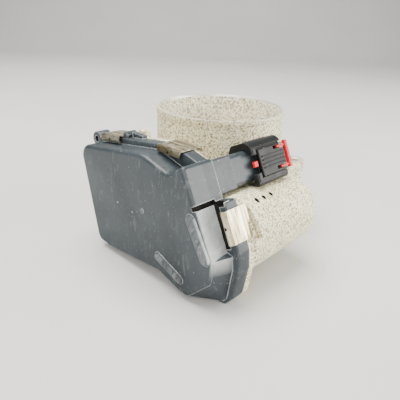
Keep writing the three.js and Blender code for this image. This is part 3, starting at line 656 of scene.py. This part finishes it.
# the wall below the connector flares out to the skirt and leaves a slanted facet under its corner
flare_front = [(cover_front + 1.9, y, z) for y, z in ((-79.9, 32.8), (-79.3, 18.7), (-63.5, 2.9), (-60, 25))]
flare_back = [(skirt_front + 0.4, y, z) for y, z in
              ((-79.9, 34), (-83.6, 33), (-84.2, 25), (-81.6, 5), (-79, 2.2), (-60, 2.2))]
carve(cover, painted(softened_hull("flare", flare_front + flare_back, 0.9), cover, nylon), "UNION")


def rib_along(y0, z0, y1, z1, half_wide, tall, blunt, steps=16):
    """A raised bead on the front face with rounded ends, from point to point."""
    length = math.hypot(y1 - y0, z1 - z0)
    along = np.array([y1 - y0, z1 - z0]) / length
    across = np.array([-along[1], along[0]])
    rings = []
    for k in range(steps + 1):
        lift = math.radians(90 * k / steps)
        reach = max(0.02, math.cos(lift) ** blunt * half_wide)
        ends = []
        for centre, start in (((y1, z1), -90), ((y0, z0), 90)):
            for j in range(13):
                a = math.radians(start + 180 * j / 12)
                ends.append(np.array(centre) + along * reach * math.cos(a) + across * reach * math.sin(a))
        rings.append(section(np.array(ends), cover_front + 0.3 - (tall + 0.3) * math.sin(lift)))
    return rings


rib_tall = 1.95
join(cover, nylon, rib_along(-40.3, 18.6, -57.9, 12.1, 2.8, rib_tall, 1.0))
join(cover, nylon, rib_along(-65.1, 51.2, -75.8, 32.9, 3.3, rib_tall, 0.75))
gate_mark = [(0, cover_front - 0.25), (0.5, cover_front - 0.2), (0.8, -91.5), (0, -91.5)]
for y, z in ((-16.9, 37.8), (-2.7, 39.2)):
    join(cover, nylon, turned(gate_mark, "x", (y, z), 20))
cut(
    cover,
    nylon,
    [section(rounded(cover_corners, -2.5, 9), x) for x in (-89.5, -77)],
    [section(rounded(joint_corners, -3.2, 9), x) for x in (-77.1, -70)],
    lean([section(rounded([(2.6, 31.9, 1.5), (12.7, 31.9, 1.5), (12.7, 47.2, 1.5), (2.6, 47.2, 1.5)]), x)
          for x in (-52, -26)]),
    rod(2.1, -81, -73, 34.6, 67.8, 32),
    rod(23.7, -70.5, 0, motor_y, motor_z, 96),
)
# the crease under the block, the recess at its end and the trench beside the clip, their faces painted near
# black as shade
cut(
    cover,
    # the cut faces take the near-black painted shade
    recess_shade_material,
    lean([section(rounded([(-1, 26.8, 0.3), (2.1, 27.6, 0.5), (2.1, 29.6, 0.3), (-1, 29.9, 0.3)]), x)
          for x in (-93, -77)]),
    bar(-80, -75, -7.4, -0.4, 25.4, 31, 0.4),
    bar(-80, -77.7, -3.6, -0.2, 3, 26, 0.4),
)
for low in (35.2, 39.5, 43.8):
    for deep in (4.8, 9.6):
        around = ((-0.7, -0.7), (0.7, -0.7), (0.7, 0.7), (-0.7, 0.7))
        pin_slot = np.array([(deep + d, low + u) for d, u in around])
        cut(cover, nylon, lean([section(pin_slot, x) for x in (-78, -51)]))
crisp(cover, 28)
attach(cover, "housing")
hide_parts("gear_cover")

# ---------------------------------------------------------------------------------------------
# Cover clips. Five strips of yellow-passivated spring steel with a rolled front edge, a pierced
# hole and a crowned back, snapped over the skirt in front and the casting's flange behind.
# ---------------------------------------------------------------------------------------------
clip_outline = [
    (-79.4, -2.2), (-80.2, -2.9), (-81.7, -2.5), (-82.2, -1.2), (-81.5, 0.7), (-80.9, 1.45), (-79.9, 1.45),
    (-79.3, 0.9), (-78.4, 0.9), (-76.5, 1.25), (-74, 1.48), (-71, 1.5), (-68.5, 1.3), (-66.4, 0.9),
    (-64.9, 0.8), (-64.7, -1.1), (-64, -1.5), (-64.3, -1.9), (-65.7, -1.6), (-65.7, 0.4), (-66.2, 0.6),
    (-79.8, 0.6), (-80.6, 0.2), (-81.2, -1.2), (-80.9, -1.7), (-80.4, -1.9),
]
clip_seats = {
    "cover_clip_top": (-36.4, 78.3, 90),
    "cover_clip_top_far": (17.2, 73.15, 83.3),
    "cover_clip_motor_side": (-80.94, 48.84, 154.3),
    "cover_clip_bottom": (-36, 3.8, 270),
    "cover_clip_far_side": (33.5, 40, -12.95),
}
clip_half = 8.8


def clip_steel():
    """Pressed strip: gold tint with stains and rolling lines in the bump, colour stripes along it that are a
    painted reflection, and pale ridges that are partly worn silver, partly painted highlight.
    """
    f = Finish("clip_spring_steel", roughness=0.3, metallic=1.0)
    lines = f.noise(120, 3, 0.5, stretch=(5, 0.4, 0.4))
    stain = f.noise(320, 4, 0.75)
    bronze, gold, silver = (0.20, 0.155, 0.085), (0.48, 0.41, 0.26), (0.76, 0.70, 0.54)
    # colour stripes along the strip from bronze to silver: a painted gloss reflection
    painted_gloss_bands = f.ramp(lines, [(0.38, bronze), (0.5, gold), (0.62, silver)])
    tint = f.mix(f.level(stain, 0.52, 0.68, 0, 0.6), painted_gloss_bands, (0.20, 0.155, 0.085))
    # pale ridges: worn silver and a painted highlight
    f.colour(f.mix(f.math("MULTIPLY", f.edges(0.35), 0.7), tint, (0.86, 0.84, 0.78)))
    f.roughness(f.level(stain, 0.3, 0.7, 0.42, 0.22))
    f.bump((lines, 0.05), (stain, 0.02))
    return f.material


def clip_rings():
    """The strip's section carried along its length: a crowned back, pressed thinner at both ends."""
    outline = rounded([(x, out, 0.18) for x, out in reversed(clip_outline)], 0, 4)
    rings = []
    for t in np.linspace(-clip_half, clip_half, 61):
        ring = outline.copy()
        flat = (ring[:, 0] > -78.5) & (ring[:, 0] < -66.5) & (ring[:, 1] > 0.7)
        ring[flat, 1] -= 0.16 * math.exp(-(((abs(t) - 8.8) / 1.3) ** 2))
        rings.append((ring, t))
    return rings


clip_finish = clip_steel()
clips = {}
for name, (seat_y, seat_z, outward) in clip_seats.items():
    c, s = math.cos(math.radians(outward)), math.sin(math.radians(outward))
    rings = []
    for ring, t in clip_rings():
        x, out = ring.T
        rings.append(np.column_stack([x, seat_y + out * c - t * s, seat_z + out * s + t * c]))
    clip = skin(name + "_strip", rings)
    clip.data.materials.append(clip_finish)
    hole_y, hole_z = seat_y - 1.2 * c, seat_z - 1.2 * s
    cut(clip, clip_finish, rod(0.85, -84, -79, hole_y, hole_z, 24))
    crisp(clip, 40)
    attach(clip, "housing")
    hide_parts(name)
    clips[name] = clip

# ---------------------------------------------------------------------------------------------
# Harness plug. A black moulded shell pushed over the cover's socket, with a sprung latch lever
# over a pocket in its outer face and a red U-shaped position lock slid in behind it.
# ---------------------------------------------------------------------------------------------
socket_low, socket_high, socket_deep = 30, 49, 14.5


def moulded(name, dark, light, roughness, edge):
    """A small glossy-to-satin moulding with flow marks, dust, and pale edges that are partly worn and partly
    painted highlight.
    """
    f = Finish(name, roughness=roughness, specular=0.25)
    fine = f.noise(1500, 2, 0.6)
    marks = f.noise(160, 6, 0.7, distortion=0.9)
    dust = f.noise(700, 3, 0.65)
    base = f.mix(f.level(marks, 0.35, 0.7, 0, 1), dark, light)
    dusty = f.mix(f.level(dust, 0.64, 0.74, 0, 0.35), base, (0.30, 0.29, 0.27))
    # pale edges: wear and a painted highlight
    f.colour(f.mix(f.math("MULTIPLY", f.edges(0.35), 0.45), dusty, edge))
    f.roughness(f.level(marks, 0.3, 0.7, roughness - 0.08, roughness + 0.12))
    f.bump((fine, 0.03), (marks, 0.03))
    return f.material


black = moulded("plug_black", (0.004, 0.0045, 0.005), (0.011, 0.012, 0.013), 0.44, (0.26, 0.26, 0.26))
red = moulded("lock_red", (0.50, 0.010, 0.016), (0.66, 0.018, 0.026), 0.36, (0.80, 0.16, 0.15))
plug_corners = [(-3, 26.2, 2), (13, 30.5, 1), (16, 33, 2), (16, 46.5, 2), (11.5, 53, 2), (-3, 53, 5.5)]
plug_back = -14.2
plug_shell = prism(plug_corners, -43, plug_back, front=0.5, back=1.0, steps=4, per_corner=11)
plug = skin("plug_shell", lean(plug_shell))
plug.data.materials.append(black)
for x in (-33, -29, -25, -21):
    join(plug, black, bar(x - 0.7, x + 0.7, 3, 10, 52.3, 53.3, 0.3))
for low, high in ((29, 34.5), (44.6, 48)):
    join(plug, black, bar(-41.8, -40.6, -3.45, -2.0, low, high, 0.4))
cut(
    plug,
    black,
    bar(-44, -26.5, -0.4, socket_deep + 0.4, socket_low - 0.4, socket_high + 0.4, 3),
    bar(-44, -37.5, -4, 1, 34, 45, 0.5),
    bar(-39, -11, -3.6, -0.9, 30.9, 48.6, 0.5),
    rod(23.6, -44, -11, motor_y, motor_z, 120),
)
join(plug, black, bar(-41, -25, 3.2, 11.3, 33.2, 45.8, 1, front=0.4))
cut(plug, black, bar(-20, -11, 2.6, 12, 32.6, 46.4, 1.5))
for low in (35.2, 39.5, 43.8):
    for deep in (4.8, 9.6):
        cut(plug, black, bar(-50, -11, deep - 1, deep + 1, low - 1, low + 1, 0.25))
crisp(plug, 30)
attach(plug, "harness_plug")
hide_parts("plug_housing")

lock_arms = ((32.8, 34.4), (44.8, 46.4))
latch = skin("latch_lever", bar(-38.3, -14.8, -3.9, -2.4, 31.2, 47.4, 0.7, front=0.6, back=0.5))
latch.data.materials.append(black)
for low in (35.6, 37.8, 40, 42.2):
    join(latch, black, bar(-36.5, -16, -4.55, -3.5, low, low + 1.0, 0.35, front=0.35, back=0.35))
for low, high in lock_arms:
    cut(latch, black, bar(-24.6, -13, -5, -2, low - 0.3, high + 0.3, 0.3))
crisp(latch, 30)
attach(latch, "latch")
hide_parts("plug_latch")

lock = skin("position_lock_bar", bar(-12.6, -10.2, -4.4, -1.9, 31.6, 48.2, 0.7, front=0.4, back=0.4))
lock.data.materials.append(red)
for low, high in lock_arms:
    join(lock, red, bar(-20.1, -12, -3.6, -2.2, low, high, 0.4, front=0.3))
crisp(lock, 30)
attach(lock, "position_lock")
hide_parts("plug_position_lock")

window_block = skin("lock_block", bar(-42.4, -39, -2.6, -0.8, 37.9, 41.2, 0.4, front=0.3, back=0.3))
window_block.data.materials.append(red)
crisp(window_block, 30)
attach(window_block, "harness_plug")
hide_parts("plug_lock_block")

# ---------------------------------------------------------------------------------------------
# Throttle plate, shaft and screws. A brass-coloured disc in a slot of the ground steel shaft,
# held by two screws whose tips are staked; its rim is ground to seal the bore at a small tilt.
# ---------------------------------------------------------------------------------------------
rest_tilt = math.radians(13)
closed_tilt = math.radians(6)


def tilted(rings):
    """Turns rings about the shaft from the plate's own position to where it rests."""
    c, s = math.cos(rest_tilt), math.sin(rest_tilt)
    placed = []
    for ring in rings:
        x, y, z = ring.T
        placed.append(np.stack([x, y * c - z * s, shaft_z + y * s + z * c], 1))
    return placed


def metal(name, dark, light, roughness, stretch):
    """Turned or ground metal: tool lines, smudges and a little grime."""
    f = Finish(name, roughness=roughness, metallic=1.0)
    lines = f.noise(420, 3, 0.5, stretch=stretch)
    smudge = f.noise(120, 5, 0.65)
    clean = f.ramp(smudge, [(0.3, dark), (0.7, light)])
    grime = f.level(f.noise(300, 4, 0.7), 0.6, 0.75, 0, 0.25)
    f.colour(f.mix(grime, clean, tuple(v * 0.3 for v in dark)))
    f.roughness(f.level(smudge, 0.3, 0.7, roughness + 0.1, roughness - 0.06))
    f.bump((lines, 0.025))
    return f.material


plate_metal = metal("plate_brass", (0.42, 0.33, 0.15), (0.60, 0.49, 0.25), 0.34, (4, 0.4, 1))
ground_steel = metal("ground_steel", (0.36, 0.36, 0.36), (0.56, 0.56, 0.56), 0.26, (6, 1, 1))
a = np.linspace(0, 2 * math.pi, 144, endpoint=False)
plate_rings = []
for h, inset in ((-1.1, 0.12), (-1.0, 0), (1.0, 0), (1.1, 0.12)):
    x = (bore_r - 0.25 - inset) * np.cos(a)
    across = (bore_r - 0.25 - inset) * np.sin(a)
    y = (across - h * math.sin(closed_tilt)) / math.cos(closed_tilt)
    plate_rings.append(np.stack([x, y, np.full(len(a), h)], 1))
plate = skin("throttle_disc", tilted(plate_rings))
plate.data.materials.append(plate_metal)
for x in (-20, 20):
    cut(plate, plate_metal, tilted(post(1.9, -6, 6, x, 0, 32)))
crisp(plate)
shaft_profile = [(0, -84), (4.6, -84), (5, -83.6), (5, 48.6), (4.6, 49), (0, 49)]
shaft = skin("throttle_spindle", tilted(turned(shaft_profile, "x", (0, 0), 72)))
shaft.data.materials.append(ground_steel)
slot_outline = np.array([(-6, -1.25), (6, -1.25), (6, 1.25), (-6, 1.25)])
plate_slot = [section(slot_outline, x) for x in (-40, 40)]
cut(shaft, ground_steel, tilted(plate_slot))
for x in (-20, 20):
    cut(shaft, ground_steel, tilted(post(1.9, -6, 6, x, 0, 32)), tilted(post(4, 3.4, 6, x, 0, 40)))
crisp(shaft)
screw_steel = metal("screw_steel", (0.30, 0.30, 0.31), (0.50, 0.50, 0.51), 0.32, (1, 1, 1))
screw_profile = [
    (0, -5.4), (1.2, -5.4), (1.6, -5.0), (1.6, 3.7), (3.5, 3.7), (3.5, 4.7), (3.2, 5.1), (2.2, 5.45),
    (0, 5.5),
]
for number, x in ((1, -20), (2, 20)):
    screw = skin(f"plate_screw_{number}_head", tilted(turned(screw_profile, "z", (x, 0), 48)))
    screw.data.materials.append(screw_steel)
    star = []
    for k in range(24):
        r = 1.5 + 0.28 * math.cos(6 * 2 * math.pi * k / 24)
        star.append((x + r * math.cos(2 * math.pi * k / 24), r * math.sin(2 * math.pi * k / 24)))
    drive = [np.column_stack([np.array(star), np.full(24, h)]) for h in (4.0, 6.0)]
    cut(screw, screw_steel, tilted(drive))
    crisp(screw)
    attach(screw, "throttle")
    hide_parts(f"plate_screw_{number}")
for piece, node, look in ((plate, "throttle_plate", "brass"), (shaft, "throttle_shaft", "steel")):
    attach(piece, "throttle")
    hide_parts(node)

# ---------------------------------------------------------------------------------------------
# End cap and flange seal. A pressed steel cup closes the far bearing boss; a moulded rubber ring
# lies in the groove under the engine flange.
# ---------------------------------------------------------------------------------------------
cap_profile = [
    (0, 49.5), (7.1, 49.5), (7.4, 49.9), (7.4, 51.3), (7.1, 51.7), (6.5, 51.8), (6.0, 51.5), (5.6, 51.0),
    (0, 50.95),
]
cap = skin("end_cap_cup", turned(cap_profile, "x", (0, shaft_z), 72))
cap.data.materials.append(metal("cap_steel", (0.40, 0.40, 0.40), (0.58, 0.58, 0.57), 0.3, (1, 5, 5)))
crisp(cap)
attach(cap, "housing")
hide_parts("shaft_end_cap")


def rubber_look():
    """Moulded rubber: near black, dull, with a bloom of dust."""
    f = Finish("seal_rubber", roughness=0.75, specular=0.3)
    bloom = f.noise(240, 5, 0.7)
    f.colour(f.ramp(bloom, [(0.35, (0.012, 0.012, 0.012)), (0.75, (0.040, 0.039, 0.037))]))
    f.roughness(f.level(bloom, 0.3, 0.7, 0.68, 0.86))
    f.bump((f.noise(1300, 3, 0.6), 0.05))
    return f.material


rubber = rubber_look()
seal_profile = []
for k in range(24):
    a = 2 * math.pi * k / 24
    seal_profile.append((43.7 + 1.2 * math.cos(a), 1.0 + 0.88 * math.sin(a)))
seal = skin("flange_seal_ring", turned(seal_profile, sides=144), looped=True)
seal.data.materials.append(rubber)
crisp(seal, 60)
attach(seal, "housing")
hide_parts("flange_seal")

# ---------------------------------------------------------------------------------------------
# Parts inside the case and the plug: gears, spring, bearings, motor, terminals, board and seals.
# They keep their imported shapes; each family gets the finish of what it is made of.
# ---------------------------------------------------------------------------------------------
gear_nylon = moulded("gear_nylon", (0.58, 0.52, 0.38), (0.66, 0.60, 0.46), 0.42, (0.80, 0.77, 0.66))
inner_steel = metal("inner_steel", (0.34, 0.34, 0.35), (0.55, 0.55, 0.56), 0.3, (4, 1, 1))
inner_brass = metal("inner_brass", (0.46, 0.32, 0.10), (0.66, 0.50, 0.20), 0.28, (5, 1, 1))
windings = metal("copper_windings", (0.42, 0.18, 0.09), (0.66, 0.34, 0.19), 0.34, (1, 9, 9))
sintered = metal("sintered_magnet", (0.045, 0.045, 0.05), (0.08, 0.08, 0.085), 0.55, (1, 1, 1))
lacquer = moulded("board_lacquer", (0.016, 0.11, 0.05), (0.03, 0.17, 0.08), 0.34, (0.20, 0.34, 0.24))
inside = {
    "throttle_gear": gear_nylon,
    "intermediate_gear": gear_nylon,
    "spring_sleeve": black,
    "sensor_board": lacquer,
    "motor_armature": windings,
}
for name in ("sensor_magnet", "motor_magnet_top", "motor_magnet_bottom"):
    inside[name] = sintered
for name in ("cover_seal", "gear_side_shaft_seal", "far_side_shaft_seal", "plug_wire_seal", "plug_seal"):
    inside[name] = rubber
for name in ("motor_pinion", "motor_bush", "motor_terminal_1", "motor_terminal_2"):
    inside[name] = inner_brass
for number in range(1, 7):
    inside[f"connector_pin_{number}"] = inner_brass
    inside[f"plug_terminal_{number}"] = inner_brass
for name in (
    "gear_side_bearing", "far_side_bearing", "return_spring", "intermediate_gear_pin", "motor_shaft",
    "motor_can", "motor_end_plate", "motor_screw_1", "motor_screw_2", "motor_wave_washer",
):
    inside[name] = inner_steel
for name, finish in inside.items():
    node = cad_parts[name]
    node.data.materials.clear()
    node.data.materials.append(finish)

# ---------------------------------------------------------------------------------------------
# Studio: a pale seamless table that curves up into a backdrop, three softboxes (low at the right,
# where the connector block mirrors it, overhead, and high at the left), and even fill.
# ---------------------------------------------------------------------------------------------
sweep_r = 0.5
sweep = [(-1.6, 0.0)]
for k in range(0, 91, 6):
    a = math.radians(k)
    sweep.append((1.1 + sweep_r * math.sin(a), sweep_r - sweep_r * math.cos(a)))
sweep.append((1.6, 1.8))
table_verts = []
for across in (-2.2, 2.2):
    for away, up in sweep:
        table_verts.append((away * 0.707 - across * 0.707, away * 0.707 + across * 0.707, up - 0.0003))
count = len(sweep)
table_faces = [(k, k + 1, count + k + 1, count + k) for k in range(count - 1)]
table_mesh = bpy.data.meshes.new("table")
table_mesh.from_pydata(table_verts, [], table_faces)
table = bpy.data.objects.new("table", table_mesh)
bpy.context.scene.collection.objects.link(table)
for poly in table_mesh.polygons:
    poly.use_smooth = True
paper = Finish("table_paper", roughness=0.85, specular=0.2)
paper.colour(paper.ramp(paper.noise(5, 4, 0.5), [(0.3, (0.58, 0.575, 0.565)), (0.7, (0.62, 0.615, 0.605))]))
paper.bump((paper.noise(900, 3, 0.6), 0.04))
table_mesh.materials.append(paper.material)
table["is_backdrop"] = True


def softbox(name, direction, distance, size, power, colour):
    light = bpy.data.lights.new(name, "AREA")
    light.shape = "RECTANGLE"
    light.size, light.size_y = size
    light.energy = power
    light.color = colour
    lamp = bpy.data.objects.new(name, light)
    aim = Vector((0, 0, 0.04))
    lamp.location = aim + Vector(direction).normalized() * distance
    lamp.rotation_euler = (aim - lamp.location).to_track_quat("-Z", "Y").to_euler()
    bpy.context.scene.collection.objects.link(lamp)
    return lamp


softbox("right_softbox", (0.62, -0.76, 0.26), 0.95, (0.75, 0.6), 16, (1.0, 0.985, 0.93))
softbox("overhead_softbox", (-0.05, 0.25, 1.0), 1.1, (0.9, 0.9), 36, (1.0, 0.985, 0.94))
softbox("left_softbox", (-0.80, -0.45, 0.55), 1.2, (0.9, 0.9), 15, (1.0, 0.985, 0.94))
world = bpy.data.worlds.new("studio_fill")
world.use_nodes = True
world.node_tree.nodes["Background"].inputs["Color"].default_value = (0.97, 0.98, 1.0, 1)
world.node_tree.nodes["Background"].inputs["Strength"].default_value = 0.27
bpy.context.scene.world = world

lens = bpy.data.cameras.new("camera")
lens.lens = 38.1
lens.sensor_width = 36
camera = bpy.data.objects.new("camera", lens)
yaw, pitch, roll = (math.radians(v) for v in (43.518, 24.632, -2.316))
forward = Vector((math.cos(yaw) * math.cos(pitch), math.sin(yaw) * math.cos(pitch), -math.sin(pitch)))
right = Vector((math.sin(yaw), -math.cos(yaw), 0))
down = forward.cross(right)
rolled_right = math.cos(roll) * right + math.sin(roll) * down
rolled_down = -math.sin(roll) * right + math.cos(roll) * down
from_bore = (-224.95, -197.32)
stand = Vector((bore_at.x + from_bore[0], bore_at.y + from_bore[1], 148.51)) * MM
camera.matrix_world = Matrix.Translation(stand) @ Matrix(
    (rolled_right, -rolled_down, -forward)
).transposed().to_4x4()
bpy.context.scene.collection.objects.link(camera)
bpy.context.scene.camera = camera

low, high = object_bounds()
